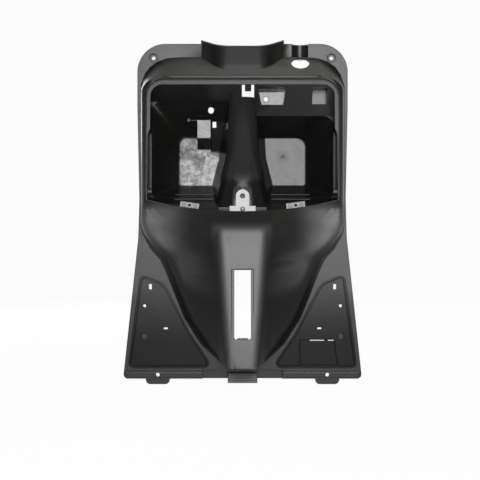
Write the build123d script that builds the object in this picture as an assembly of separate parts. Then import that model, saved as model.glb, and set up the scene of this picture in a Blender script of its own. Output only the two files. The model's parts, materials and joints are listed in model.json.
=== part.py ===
"""Inner leg shield of a small scooter: one black moulding and the steel pieces on its glove box sill."""
from build123d import *
import os
from math import atan, cos, degrees, hypot, pi, sin, sqrt

# Flange, in mm, drawn from the middle of the bottom edge with the rider toward -Y
wall = 3.0
far = 300.0
upward = (Align.CENTER, Align.CENTER, Align.MIN)
downward = (Align.CENTER, Align.CENTER, Align.MAX)
overcut = 1.0
flange_height = 590.0
flange_bottom = 4.0
top_half_width = 184.0
waist_half_width = 180.5
waist_height = 318.0
flare_half_width = 182.5
flare_height = 250.0
upright_height = 480.0
foot_half_width = 209.0
top_corner_radius = 49.0
side_bend_radius = 90.0
foot_corner_radius = 8.0
edge_return = 11.0

# Bulge that carries the glove box and runs down between the rider's feet
bulge_half_width = 178.0
bulge_draft = 0.10
shoulder_round = 14.0
crown_round = 7.0
tongue_bottom = 20.0
tongue_foot_slope = 0.12
inner_corner_share = 0.6
corner_room = 0.45
corner_facets = 4

# Shelf below the handlebar
shelf_height = 566.5
shelf_corner_cut = 68.0
shelf_corner_taper = 0.73
shelf_corner_gap = 0.6
shelf_front = 58.0
shelf_corner_foot = 400.0
shelf_overrun = 8.0
shelf_facets = 6

# Neck collar for the steering column
collar_half_width = 72.5
collar_front_half_width = 41.5
collar_front = 25.0
collar_front_height = 541.5
collar_lean = 0.17
collar_corner_round = 18.0
collar_horn_height = 595.0
collar_rim_slope = 0.72
collar_overrun = 30.0

# Key switch
key_radius = 15.5
key_x = 100.5
key_setback = 12.0
key_groove_radius = 14.0

# Lid seat and glove box mouth
rim_width = 13.0
lid_half_width = bulge_half_width - rim_width
lid_top = 523.0
lid_foot_side = 314.0
lid_foot_middle = 293.0
lid_corner_radius = 30.0
seat_top_depth = 33.0
seat_slope = 0.13
mouth_ledge = 7.0
mouth_low_ledge = 3.0
mouth_half_width = lid_half_width - mouth_ledge
mouth_low_half_width = lid_half_width - mouth_low_ledge
mouth_step_height = 428.0
mouth_step_run = 10.0
mouth_top = 514.5
mouth_corner_radius = 20.0
mouth_foot_radius = 6.0
panel_depth = 2.0
roof_front = 31.0
floor_height = 321.0

# Ramp from the lip of the sill up to the pocket floors, the tabs left standing on it and the ribs across it
ramp_front = 64.0
ramp_foot = 296.0
lip_ledge = 2.0
tab_thickness = 4.0
middle_tab = (41.0, 302.5)
clip_tab_half_width = 13.0
clip_tab_rise = 3.8
floor_rib_x = (50.0, 118.0)
floor_ribs = ((-12.0, 314.0, 318.6), (10.0, 323.0, 327.4))
floor_rib_depth = 4.0

# Pockets either side of the column
pocket_back = 62.0
pocket_undercut = 1.5
pocket_mouth_half_width = mouth_half_width + pocket_undercut
right_pocket_mouth_top = 464.0
pocket_back_half_width = 113.0
pocket_back_top = 430.0
pocket_back_foot = 345.0
pocket_inner = 10.0
pocket_radius = 20.0
pocket_foot_radius = 6.0

# Column cover between the pockets: height, half width and depth of its nose
column_stations = (
    (285.0, 60.0, 59.0),
    (345.0, 40.0, 46.0),
    (395.0, 27.0, 37.0),
    (465.0, 24.0, 31.0),
    (535.0, 23.0, 26.0),
)
column_back = 90.0
column_draft = 0.2
column_nose_share = 0.9
column_facets = 8

# Fixing holes
upper_screw_x = 155.8
upper_screw_height = 565.5
upper_recess_radius = 7.4
upper_recess_depth = 4.0
lower_screw_x = 148.0
lower_screw_height = 11.5
screw_hole_radius = 3.3
ear_half_width = 21.0
ear_bottom = -5.0
ear_radius = 8.0

# Openings above the pockets
latch_x = (-1.0, 20.0)
latch_foot = 494.0
tongue_x = (4.0, 15.0)
tongue_foot = 503.0
tongue_thickness = 3.0
recess_a_outline = ((26.0, 511.0), (76.0, 511.0), (71.0, 482.0), (33.0, 482.0))
recess_b_margin = 11.0
recess_b_width = 26.0
recess_b_right = mouth_half_width - recess_b_margin
recess_b_left = recess_b_right - recess_b_width
recess_b_outline = (
    (recess_b_left, 511.0), (recess_b_right, 511.0), (recess_b_right, 483.0), (recess_b_left, 483.0),
)
recess_depth = 10.0
lever_hole = (41.0, 494.0)
lever_hole_radius = 4.0
roof_hole = (-55.5, 475.0)
roof_hole_radius = 5.0
roof_slot = (-50.0, 452.0)
roof_slot_size = (6.5, 10.0)

# Hollow box in the roof of the left pocket, as depth and height, and the pin beside it
roof_box_x = (-80.0, -56.0)
roof_box_profile = ((20.0, 459.0), (20.0, 427.0), (50.0, 410.0), (66.0, 410.0), (66.0, 459.0))
roof_pin = (-95.0, 458.5)
roof_pin_radius = 3.2
roof_pin_front = 20.0
roof_pin_length = 17.0
roof_rib = 2.0

# Hollow slope that fills the corner between that box and the column cover, from the roof to the back wall
slope_end = -30.0
slope_hollow_end = -45.0
slope_front = 30.0
slope_top = 462.0
slope_foot = 400.0

# Lid pivots at the lower corners of the mouth
pivot_height = 329.0
pivot_depth = 47.0
pivot_radius = 6.0
pivot_bore = 2.6
pivot_length = 9.0

# Slot in the centre strip
slot_width = 28.0
slot_height = 114.0
slot_middle = 139.0
slot_rebate = (4.5, 2.0)
slot_rebate_depth = 1.5
slot_notch = (11.0, 4.0)

# Recessed side areas
side_recess_depth = 2.5
side_recess_radius = 10.0
side_groove_inset = 3.0
side_recess_outline = (
    (179.0, 188.0), (160.0, 180.0), (139.0, 171.0), (130.0, 158.0),
    (92.0, 84.0), (50.0, 22.0), (201.0, 22.0),
)

side_slot = (161.5, 165.0)
side_slot_size = (5.0, 9.0)
side_screw = (171.5, 131.5)
side_screw_radius = 2.6
side_square = (172.5, 78.0)
side_square_size = 10.0
side_square_depth = 6.0
side_clip_slot = (134.5, 92.0)
side_clip_slot_size = (7.0, 3.0)

# Knock-out panel on the right: corners, groove and the two open slits along its top
panel_outline = ((100.5, 71.0), (160.0, 71.0), (167.0, 27.0), (100.5, 27.0))
panel_groove = 1.4
panel_groove_depth = 1.2
panel_slits = ((118.0, 143.0), (150.0, 160.0))

# Bottom lip and the notch in its middle
lip_height = 18.0
lip_depth = 5.0
lip_round = 2.5
notch_half_width = 70.0
notch_setback = 8.0
notch_height = 19.0
tab_half_width = 26.0
tab_bottom = -4.0
tab_top = 15.0
tab_rib = 2.0
tab_ribs = 3

# Steel pieces on the sill
sheet = 1.6
clip_sheet = 1.0
sheet_gap = 0.1
steel_facets = 16
catch_half_width = 22.0
catch_height = 10.6
catch_middle = 299.1
catch_eye_radius = 11.5
catch_eye_height = 17.0
catch_eye_hole = 4.5
catch_screw_radius = 2.0
catch_screw_head = 4.2
catch_screw_length = 9.0
screw_clearance = 0.2
niche_radius = 15.5
niche_middle = 311.5
niche_back = 40.0
clip_x = 90.0
clip_width = 32.0
clip_height = 10.5
clip_lift = 5.95
clip_bow = (lid_foot_side - lid_foot_middle) * (clip_x / lid_half_width) ** 2
clip_middle = lid_foot_middle + clip_bow + clip_lift
clip_hole = 2.4
clip_collar = 4.6
clip_collar_height = 2.4

# Height, base half width, shoulder half width, shoulder depth, crown half width, crown depth and the reach of
# the shoulder's round along the front, from the foot of the bulge up to where it is as wide as the glove box
tongue_stations = (
    (tongue_bottom, 21.0, 15.0, 60.0, 11.0, 90.4, 14.0),
    (36.0, 42.0, 33.0, 52.0, 19.0, 88.7, 14.0),
    (65.0, 74.0, 61.0, 44.0, 24.0, 85.6, 14.0),
    (110.0, 103.0, 88.0, 37.0, 28.0, 80.9, 16.0),
    (190.0, bulge_half_width - 43.0, bulge_half_width - 58.0, 33.0, 34.0, 72.5, 22.0),
    (212.0, bulge_half_width - 33.0, bulge_half_width - 48.0, 35.0, 36.0, 70.2, 28.0),
    (231.0, bulge_half_width - 16.0, bulge_half_width - 30.5, 38.0, 37.0, 68.2, 38.0),
    (258.0, bulge_half_width - 2.5, bulge_half_width - 12.0, 45.0, 38.0, 65.4, 48.0),
)
# Height, shoulder depth, crown half width, crown depth and shoulder reach where the bulge has its full width
box_stations = (
    (276.0, 54.0, 50.0, 73.5, 44.0),
    (302.0, 63.0, 58.0, 83.0, 22.0),
    (600.0, 30.0, 60.0, 35.0, 14.0),
)


def front_prism(face, front, back):
    """Solid with a front-view outline, from one depth to another."""
    return extrude(Plane.XZ.offset(-front) * face, amount=front - back)


def block(x_range, y_range, z_range):
    """Box between two x, two y and two z values."""
    ranges = (x_range, y_range, z_range)
    middle = [(low + high) / 2 for low, high in ranges]
    return Pos(*middle) * Box(*[high - low for low, high in ranges])


def mirrored(points):
    """Outline points of the right half, then the same points on the left in reverse."""
    return list(points) + [(-x, z) for x, z in reversed(points)]


def seat_depth(z):
    """Depth of the lid seat plane at a height."""
    return seat_top_depth + seat_slope * (lid_top - z)


def seat_plane(x, z, back=0.0):
    """Plane on the lid seat, facing the rider, with its y up the seat."""
    return Plane(origin=(x, back - seat_depth(z), z), x_dir=(1, 0, 0), z_dir=(0, -1, seat_slope))


def in_front_of_seat(back):
    """Everything on the rider's side of the lid seat, or of a plane behind it."""
    return seat_plane(0, lid_top, back) * Box(2 * far, 4 * far, far, align=upward)


def shelf_plane(x, setback):
    """Plane on the sloping shelf, facing up and toward the rider."""
    return Plane(origin=(x, -setback, shelf_height - setback), x_dir=(1, 0, 0), z_dir=(0, -1, 1))


def frustum(front, back):
    """Straight-sided solid between two outlines whose sides are parallel in pairs."""
    sides = [
        Face(Wire.make_polygon([front[i], front[i - 1], back[i - 1], back[i]])) for i in range(len(front))
    ]
    ends = [Face(Wire.make_polygon(outline)) for outline in (front, back)]
    return Solid(Shell(sides + ends))


def flange_face(inset):
    """Front-view outline of the whole shield."""
    right = [
        (foot_half_width - inset, flange_bottom + inset),
        (flare_half_width - inset, flare_height),
        (waist_half_width - inset, waist_height),
        (top_half_width - inset, upright_height),
        (top_half_width - inset, flange_height - inset),
    ]
    radii = [foot_corner_radius] + [side_bend_radius] * 3 + [top_corner_radius - inset]
    return make_face(FilletPolyline(*mirrored(right), radius=radii + radii[::-1], close=True))


def soft_path(points, cuts, facets):
    """Points of the path with each inner corner turned in a few facets, as far as its runs have room."""
    path = [Vector(*points[0])]
    for before, corner, after, (back_cut, ahead_cut) in zip(points, points[1:], points[2:], cuts):
        tip = Vector(*corner)
        back = Vector(*before) - tip
        ahead = Vector(*after) - tip
        back = back.normalized() * min(back_cut, corner_room * back.length)
        ahead = ahead.normalized() * min(ahead_cut, corner_room * ahead.length)
        for step in range(facets + 1):
            t = step / facets
            path += [tip + back * (1 - t) ** 2 + ahead * t ** 2]
    return path + [Vector(*points[-1])]


def bulge_section(station, inset, back):
    """Level section of the bulge: two walls, two sloping flanks and a flat crown."""
    z, base, shoulder, shoulder_depth, crown, crown_depth, reach = station
    right = [
        (crown - inset / 3, inset - crown_depth),
        (shoulder - inset, inset - shoulder_depth),
        (base - inset, back),
    ]
    points = [(-x, y) for x, y in reversed(right)] + right
    share = inner_corner_share if inset else 1
    wall_cut, front_cut, crown_cut = [share * cut for cut in (shoulder_round, reach, crown_round)]
    cuts = [(wall_cut, front_cut), (crown_cut, crown_cut), (crown_cut, crown_cut), (front_cut, wall_cut)]
    path = soft_path(points, cuts, 1 if inset else corner_facets)
    return Plane.XY.offset(z) * Wire.make_polygon(path)


def shelf_outline(y, inset):
    """Front-view outline of the bulge below the shelf, at one depth."""
    half = bulge_half_width + shelf_corner_gap + bulge_draft * y - inset
    top = shelf_height + y - inset * sqrt(2)
    cut = shelf_corner_cut + shelf_corner_taper * y - inset
    foot = shelf_corner_foot - wall
    points = [(-half, foot), (-half, top), (half, top), (half, foot)]
    return [Vector(p.X, y, p.Y) for p in soft_path(points, [(cut, cut)] * 2, shelf_facets)]


def bulge(inset, back):
    """Solid bulge up to the sloping shelf that cuts it off."""
    full = [
        (z, bulge_half_width, bulge_half_width - bulge_draft * shoulder, shoulder, crown, depth, reach)
        for z, shoulder, crown, depth, reach in box_stations
    ]
    stations = list(tongue_stations) + full
    body = Solid.make_loft([bulge_section(s, inset, back) for s in stations], ruled=True)
    foot = Plane(origin=(0, 0, tongue_bottom + inset), x_dir=(1, 0, 0), z_dir=(0, tongue_foot_slope, 1))
    body -= foot * Box(far, far, far, align=downward)
    behind = back + shelf_overrun
    shelf = frustum(shelf_outline(-shelf_front, inset), shelf_outline(behind, inset))
    above = block((-far, far), (-far, behind), (shelf_corner_foot, flange_height + far)) - shelf
    return body - above


def lid_block(grow):
    """Prism of the lid recess, square to its seat and moved back by a wall."""
    along = sqrt(1 + seat_slope ** 2)
    half = lid_half_width + grow
    low = (lid_foot_side - lid_top) * along - grow
    middle = (lid_foot_middle - lid_top) * along - grow
    foot = ThreePointArc((-half, low), (0, middle), (half, low))
    round_off = [lid_corner_radius + grow] * 2
    sides = FilletPolyline((half, low), (half, grow), (-half, grow), (-half, low), radius=round_off)
    face = make_face(foot.edges() + sides.edges())
    return seat_plane(0, lid_top, grow) * extrude(face, amount=far)


def mouth_face(grow):
    """Front-view outline of the glove box mouth, wider below the side ledges."""
    low = mouth_low_half_width + grow
    high = mouth_half_width + grow
    step = mouth_step_height
    right = [(low, floor_height - grow), (low, step)]
    right += [(high, step + mouth_step_run), (high, mouth_top + grow)]
    radii = [mouth_foot_radius + grow, mouth_step_run, mouth_step_run, mouth_corner_radius + grow]
    return make_face(FilletPolyline(*mirrored(right), radius=radii + radii[::-1], close=True))


def roof_line(side):
    """Front and back ends, as depth and height, of the slanted roof on one side of the column."""
    front = (-roof_front, mouth_top)
    back = (pocket_back, pocket_back_top) if side < 0 else (-panel_depth, right_pocket_mouth_top)
    return front, back


def above_roof(side, grow):
    """Everything behind and above a slanted roof, moved back by a wall."""
    (y, z), (back_y, back_z) = roof_line(side)
    shift = grow * hypot(back_y - y, back_z - z) / (z - back_z)
    top = z + 2 * wall
    outline = [(y + shift, z), (back_y + shift, back_z), (back_y + shift, top), (y + shift, top)]
    return extrude(Plane.YZ * make_face(Polyline(*outline, close=True)), amount=side * far)


def mouth(grow):
    """Block of the mouth, down to the panel and the slanted roofs."""
    body = front_prism(mouth_face(grow), -far, grow - panel_depth)
    return body - [above_roof(side, grow) for side in (-1, 1)]


def sill_ramp(grow):
    """Space over the ramp behind the lip of the sill."""
    back = grow - panel_depth
    low = ramp_foot - grow
    top = floor_height + 2 * wall
    outline = [(-far, low), (-ramp_front, low), (back, floor_height - grow), (back, top), (-far, top)]
    half = mouth_low_half_width + grow
    ramp = extrude(Plane.YZ.offset(-half) * make_face(Polyline(*outline, close=True)), amount=2 * half)
    lip = lid_foot_middle + lip_ledge - grow
    rise = lid_foot_side - lid_foot_middle
    arc = ThreePointArc((-lid_half_width, lip + rise), (0, lip), (lid_half_width, lip + rise))
    above = Polyline((lid_half_width, lip + rise), (lid_half_width, far * 2), (-lid_half_width, far * 2),
                     (-lid_half_width, lip + rise))
    return ramp & front_prism(make_face(arc.edges() + above.edges()), -far, 0)


def sill_tabs():
    """Upright tabs on the sill that carry the catch and the clips."""
    half, top = middle_tab
    tabs = [block((-half, half), (-far, 0), (0, top))]
    half = clip_tab_half_width
    for middle in (-clip_x, clip_x):
        tabs += [block((middle - half, middle + half), (-far, 0), (0, clip_middle + clip_tab_rise))]
    return [tab & in_front_of_seat(tab_thickness) for tab in tabs]


def pocket(side, grow):
    """Tapering pocket from the mouth's back plane to its small flat back wall."""
    start = -panel_depth - overcut
    (y, z), (back_y, back_z) = roof_line(side)
    top = z + (start - y) * (back_z - z) / (back_y - y) if side < 0 else back_z
    def outline(half, foot, top, y):
        inner = side * (pocket_inner - grow)
        outer = side * (half + grow)
        low = foot - grow
        high = top + grow
        return [(outer, y, low), (outer, y, high), (inner, y, high), (inner, y, low)]
    front = outline(pocket_mouth_half_width, floor_height, top, start)
    back = outline(pocket_back_half_width, pocket_back_foot, pocket_back_top, pocket_back + grow)
    solid = frustum(front, back)
    runs = [edge for edge in solid.edges() if edge.bounding_box().size.Y > pocket_back]
    outer = ShapeList(runs).sort_by(lambda edge: side * edge.center().X)[-2:].sort_by(Axis.Z)
    solid = fillet(outer[1], pocket_radius + grow)
    low = [edge for edge in solid.edges() if (edge.center() - outer[0].center()).length < 1]
    return fillet(low, pocket_foot_radius + grow)


def column(inset):
    """Round-nosed cover over the steering column, open at the back."""
    def outline(z, half, nose):
        half = half - inset
        tip = inset - nose
        root = tip + column_nose_share * half
        wide = half + column_draft * (column_back - root)
        turns = [pi * step / column_facets for step in range(column_facets + 1)]
        points = [(-half * cos(turn), root + (tip - root) * sin(turn)) for turn in turns]
        return Plane.XY.offset(z) * Wire.make_polygon(points + [(wide, column_back), (-wide, column_back)])
    return Solid.make_loft([outline(*station) for station in column_stations], ruled=True)


def collar(inset):
    """Neck collar: a leaning three-sided bay on the shelf."""
    def outline(z):
        front = collar_front - collar_lean * (z - collar_front_height)
        right = [(collar_front_half_width - inset / 2, inset - front), (collar_half_width - inset, inset / 2)]
        points = [(-x, y) for x, y in reversed(right)] + right
        back = 2 * edge_return if inset else wall
        bay = soft_path(points, [(collar_corner_round, collar_corner_round)] * 2, corner_facets)
        return Plane.XY.offset(z) * Wire.make_polygon(bay + [(points[-1][0], back), (points[0][0], back)])
    heights = (collar_front_height - collar_overrun, collar_horn_height + collar_overrun)
    return Solid.make_loft([outline(z) for z in heights], ruled=True)


def bar(point, radius, front, back):
    """Round bar along the depth at a front-view point."""
    return front_prism(Pos(*point) * Circle(radius), front, back)


def window(point, size, front, back):
    """Rectangular bar along the depth at a front-view point."""
    return front_prism(Pos(*point) * Rectangle(*size), front, back)


def both_sides(point):
    """A front-view point and its mirror image."""
    return [(side * point[0], point[1]) for side in (-1, 1)]


def crown_depth(z):
    """Depth of the tongue's flat crown at a height, and how fast it grows."""
    for low, high in zip(tongue_stations, tongue_stations[1:]):
        if low[0] <= z <= high[0]:
            rate = (high[5] - low[5]) / (high[0] - low[0])
            return low[5] + rate * (z - low[0]), rate


def bottom_lip(side):
    """Proud rounded lip along one half of the bottom edge, with its screw ear."""
    ends = sorted((side * notch_half_width, side * (foot_half_width - lip_depth)))
    lip = block(ends, (-lip_depth, wall), (flange_bottom + overcut, lip_height))
    lip = fillet(lip.edges().filter_by(Axis.X).group_by(Axis.Y)[0], lip_round)
    ear = Pos(side * lower_screw_x, ear_bottom + lip_height)
    ear = ear * RectangleRounded(2 * ear_half_width, 2 * lip_height, ear_radius)
    ear = front_prism(ear, overcut - lip_depth, wall)
    return lip + (ear & block(ends, (-lip_depth, wall), (ear_bottom, lip_height - lip_round)))


def flange():
    """Flange with its return edge, recessed side areas, bottom lip and the notch in the lip's middle."""
    outline = front_prism(flange_face(0), 0, edge_return)
    shell = outline - front_prism(flange_face(wall), wall, edge_return + overcut)
    for side in (-1, 1):
        area = FilletPolyline(
            *[(side * x, z) for x, z in side_recess_outline], radius=side_recess_radius, close=True
        )
        area = make_face(area)
        floor = front_prism(offset(area, wall), side_recess_depth, side_recess_depth + wall)
        shell = shell + (floor & outline) - front_prism(area, -overcut, side_recess_depth)
        edge = offset(area, -side_groove_inset) - offset(area, -side_groove_inset - panel_groove)
        shell -= front_prism(edge, 0, side_recess_depth + panel_groove_depth)
        shell += bottom_lip(side)
    notch_x = (-notch_half_width, notch_half_width)
    frame_x = (-notch_half_width - wall, notch_half_width + wall)
    frame_top = notch_height + wall
    shell -= block(notch_x, (-2 * lip_depth, edge_return + overcut), (ear_bottom, notch_height))
    shell += block(frame_x, (notch_setback, notch_setback + wall), (flange_bottom, frame_top))
    shell += block(frame_x, (0, notch_setback + wall), (notch_height, frame_top))
    tab_x = (-tab_half_width, tab_half_width)
    shell += block(tab_x, (wall, notch_setback + wall), (tab_bottom, tab_top))
    for rib in range(tab_ribs):
        foot = tab_bottom + tab_rib * (1 + 3 * rib)
        shell += block(tab_x, (0, notch_setback), (foot, foot + tab_rib))
    return shell


def collar_shell():
    """Collar wall, cut off by its sloping rim above and by the shelf below."""
    rim = Plane(origin=(0, 0, collar_horn_height), x_dir=(1, 0, 0), z_dir=(0, -collar_rim_slope, 1))
    above = rim * Box(far, far, far, align=upward)
    shelf = shelf_plane(0, 0).offset(-wall / 2)
    below = shelf * Box(far, far, far, align=downward)
    return collar(0) - above - below


def collar_void():
    """Way through the collar, down through the shelf."""
    shelf = shelf_plane(0, 0).offset(-2 * wall)
    return collar(wall) - shelf * Box(far, far, far, align=downward)


def key_groove(radius, foot):
    """Upright half-round groove in the flange above the key switch."""
    bar_height = flange_height - foot
    groove = Pos(key_x, 0, foot) * Cylinder(radius, bar_height, align=upward)
    return groove & block((0, far), (0, far), (foot, flange_height))


def recess_face(outline, grow=0.0):
    """Front-view face of one of the recesses above the right pocket."""
    face = make_face(Polyline(*outline, close=True))
    return offset(face, grow, kind=Kind.INTERSECTION) if grow else face


def roof_box(inset, back):
    """Box hanging from the roof of the left pocket."""
    (y, top), (_, foot), (low_y, low), _, _ = roof_box_profile
    profile = [
        (y + inset, top - inset), (y + inset, foot + inset / 2), (low_y, low + inset), (back, low + inset),
        (back, top - inset),
    ]
    face = make_face(Polyline(*profile, close=True))
    low_x, high_x = roof_box_x
    return extrude(Plane.YZ.offset(low_x + inset) * face, amount=high_x - low_x - 2 * inset)


def roof_slope(inset, ends, back):
    """Slope between the roof box and the column cover."""
    run = pocket_back - slope_front
    drop = slope_top - slope_foot
    front = slope_front + inset * hypot(run, drop) / drop
    low = slope_foot + inset
    foot = front + run * (slope_top - low) / drop
    face = make_face(Polyline((front, slope_top), (foot, low), (back, low), (back, slope_top), close=True))
    return extrude(Plane.YZ.offset(ends[0]) * face, amount=ends[1] - ends[0])


def arch_face(grow):
    """Front-view face of the arched niche behind the catch."""
    half = niche_radius + grow
    foot = middle_tab[1]
    arch = ThreePointArc((half, niche_middle), (0, niche_middle + half), (-half, niche_middle))
    legs = Polyline((-half, niche_middle), (-half, foot), (half, foot), (half, niche_middle))
    return make_face(arch.edges() + legs.edges())


def glove_box_cavity(cover):
    """Air inside the glove box: mouth, both pockets and the recesses, around the column cover."""
    air = mouth(0) + pocket(-1, 0) + pocket(1, 0) + (sill_ramp(0) - sill_tabs())
    for outline in (recess_a_outline, recess_b_outline):
        air += front_prism(recess_face(outline), -roof_front, recess_depth - panel_depth)
    back = pocket_back + overcut
    return air - cover - roof_box(0, back) - roof_slope(0, (roof_box_x[1] - overcut, slope_end), back)


def moulding():
    """The shield: flange and bulge, hollowed from behind around the walls of the glove box."""
    cover = column(0)
    tub = [
        lid_block(wall),
        mouth(wall),
        pocket(-1, wall),
        pocket(1, wall),
        sill_ramp(wall),
    ]
    recesses = [
        front_prism(recess_face(outline, wall), -roof_front, recess_depth - panel_depth + wall)
        for outline in (recess_a_outline, recess_b_outline)
    ]
    cups = [window(p, (2 * upper_recess_radius + 2 * wall,) * 2, 0, upper_recess_depth + wall)
            for p in both_sides((upper_screw_x, upper_screw_height))]
    cups += [window(p, (side_square_size + 2 * wall,) * 2, side_recess_depth, side_square_depth + 2 * wall)
             for p in both_sides(side_square)]
    shield = flange() + bulge(0, wall) + tub[2] + tub[3]
    shield -= bulge(wall, 2 * edge_return) - tub - recesses
    shield += recesses + cups + [collar_shell(), key_groove(key_groove_radius + wall, shelf_height - wall)]
    shield -= [column(wall), collar_void(), roof_box(wall, column_back)]
    shield -= roof_slope(wall, (roof_box_x[1], slope_hollow_end), column_back)
    shield -= [lid_block(0), glove_box_cavity(cover)]
    shield += front_prism(arch_face(wall), -column_stations[0][2], wall - niche_back) & cover
    return shield


def openings():
    """Everything that passes through the moulding's walls."""
    behind = 2 * edge_return
    cuts = [front_prism(arch_face(0), -far, -niche_back)]
    cuts += [shelf_plane(key_x, key_setback) * Cylinder(key_radius, 6 * wall)]
    cuts += [key_groove(key_groove_radius, shelf_height)]
    cuts += [block(latch_x, (-seat_depth(latch_foot), 0), (latch_foot, mouth_top))]
    cuts += [bar(lever_hole, lever_hole_radius, -panel_depth, recess_depth - panel_depth + 2 * wall)]
    cuts += [bar(roof_hole, roof_hole_radius, 0, pocket_back)]
    cuts += [window(roof_slot, roof_slot_size, wall, pocket_back)]
    for point in both_sides((upper_screw_x, upper_screw_height)):
        cuts += [bar(point, upper_recess_radius, -overcut, upper_recess_depth)]
        cuts += [bar(point, screw_hole_radius, 0, behind)]
    for point in both_sides((lower_screw_x, lower_screw_height)):
        cuts += [bar(point, screw_hole_radius, -behind, behind)]
    for point in both_sides(side_slot):
        cuts += [window(point, side_slot_size, 0, behind)]
    for point in both_sides(side_screw):
        cuts += [bar(point, side_screw_radius, 0, behind)]
    for point in both_sides(side_square):
        cuts += [window(point, (side_square_size,) * 2, 0, side_square_depth + wall)]
    for point in both_sides(side_clip_slot):
        cuts += [window(point, side_clip_slot_size, 0, behind)]
    for side in (-1, 1):
        cuts += [pivot_place(side) * Cylinder(pivot_bore, 2 * pivot_length)]
        cuts += [seat_plane(side * clip_x, clip_middle) * Cylinder(clip_hole + screw_clearance, 4 * wall)]
    cuts += [seat_plane(0, catch_middle) * Cylinder(catch_screw_radius + screw_clearance, 8 * wall)]
    cuts += [window((0, slot_middle), (slot_width, slot_height), -far, 0)]
    notch_x, notch_size = slot_notch
    for point in both_sides((notch_x, slot_middle - slot_height / 2)):
        cuts += [window(point, (notch_size, notch_size), -far, 0)]
    depth, rate = crown_depth(slot_middle)
    strip = Plane(origin=(0, -depth, slot_middle), x_dir=(1, 0, 0), z_dir=(0, -1, -rate))
    rebate = (slot_width + 2 * slot_rebate[0], slot_height + 2 * slot_rebate[1], depth)
    cuts += [strip.offset(-slot_rebate_depth) * Box(*rebate, align=upward)]
    panel = make_face(Polyline(*panel_outline, close=True))
    line = offset(panel, panel_groove / 2, kind=Kind.INTERSECTION) - offset(panel, -panel_groove / 2)
    cuts += [front_prism(line, 0, side_recess_depth + panel_groove_depth)]
    top = panel_outline[0][1]
    for ends in panel_slits:
        cuts += [block(ends, (0, behind), (top - panel_groove / 2, top + panel_groove / 2))]
    return cuts


def pivot_place(side):
    """Middle of a lid pivot, with its z along the pivot's axis."""
    x = mouth_low_half_width + (wall - pivot_length) / 2
    return Pos(side * x, -pivot_depth, pivot_height) * Rot(0, 90, 0)


def small_bosses():
    """Roof pin with its rib, the lid pivots and the ribs across the floors."""
    bosses = [bar(roof_pin, roof_pin_radius, roof_pin_front, roof_pin_front + roof_pin_length)]
    rib_x = (roof_pin[0], roof_box_x[0] + wall / 2)
    rib_z = (roof_pin[1] - roof_rib / 2, roof_pin[1] + roof_rib / 2)
    bosses += [block(rib_x, (roof_pin_front + wall, roof_pin_front + roof_pin_length), rib_z)]
    for side in (-1, 1):
        bosses += [pivot_place(side) * Cylinder(pivot_radius, pivot_length)]
        ends = sorted(side * x for x in floor_rib_x)
        bosses += [block(ends, (y, y + floor_rib_depth), (low, high)) for y, low, high in floor_ribs]
    return bosses


def latch_tongue():
    """Tongue that hangs in front of the latch opening."""
    front = overcut - seat_depth(mouth_top)
    return block(tongue_x, (front, front + tongue_thickness), (tongue_foot, mouth_top + overcut))


def leg_shield():
    """The whole moulding."""
    return moulding() + small_bosses() - openings() + latch_tongue()


def sill_catch():
    """Flat steel catch with a round eye, on the middle of the sill."""
    eye_middle = catch_height / 2 + catch_eye_height
    face = Rectangle(2 * catch_half_width, catch_height)
    face += Pos(0, eye_middle / 2) * Rectangle(2 * catch_eye_radius, eye_middle)
    face += Pos(0, eye_middle) * Circle(catch_eye_radius)
    face -= Pos(0, eye_middle) * Circle(catch_eye_hole)
    face -= Circle(catch_screw_radius + screw_clearance)
    return seat_plane(0, catch_middle, -sheet_gap) * extrude(face, amount=sheet)


def sill_catch_screw():
    """Screw with a low faceted head, through the catch into the sill."""
    head_foot = sheet + 2 * sheet_gap
    head = extrude(RegularPolygon(catch_screw_head, steel_facets), amount=catch_screw_head / 2)
    head = chamfer(head.faces().sort_by(Axis.Z)[-1].edges(), catch_screw_head / 4)
    shank = extrude(RegularPolygon(catch_screw_radius, steel_facets), amount=-catch_screw_length)
    return seat_plane(0, catch_middle) * Pos(0, 0, head_foot) * (head + shank)


def sill_clip(side):
    """Sheet-steel clip nut lying along the sloping sill."""
    rise = 2 * clip_x * (lid_foot_side - lid_foot_middle) / lid_half_width ** 2
    clip = extrude(Rectangle(clip_width, clip_height), amount=clip_sheet)
    clip += extrude(RegularPolygon(clip_collar, steel_facets), amount=clip_sheet + clip_collar_height)
    clip -= extrude(RegularPolygon(clip_hole, steel_facets), amount=clip_width)
    return seat_plane(side * clip_x, clip_middle, -sheet_gap) * Rot(0, 0, side * degrees(atan(rise))) * clip


nodes = {
    "leg_shield": leg_shield(),
    "sill_catch": sill_catch(),
    "sill_catch_screw": sill_catch_screw(),
    "sill_clip_left": sill_clip(-1),
    "sill_clip_right": sill_clip(1),
}
os.makedirs("parts", exist_ok=True)
for name, solid in nodes.items():
    export_step(Pos(0, -upper_recess_depth, -upper_screw_height) * solid, f"parts/{name}.step")
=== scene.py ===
# %% [markdown]
# # A scooter's inner leg shield
#
# The shield is one large black moulding with a few steel pieces on the sill of its glove box. Its shape is
# already exact in the packed model, so this lesson is about what makes plastic look like plastic: where the
# light comes from, how rough each area is, and the small marks that moulding leaves.

# %% Load the packed model
import json
import math

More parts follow.
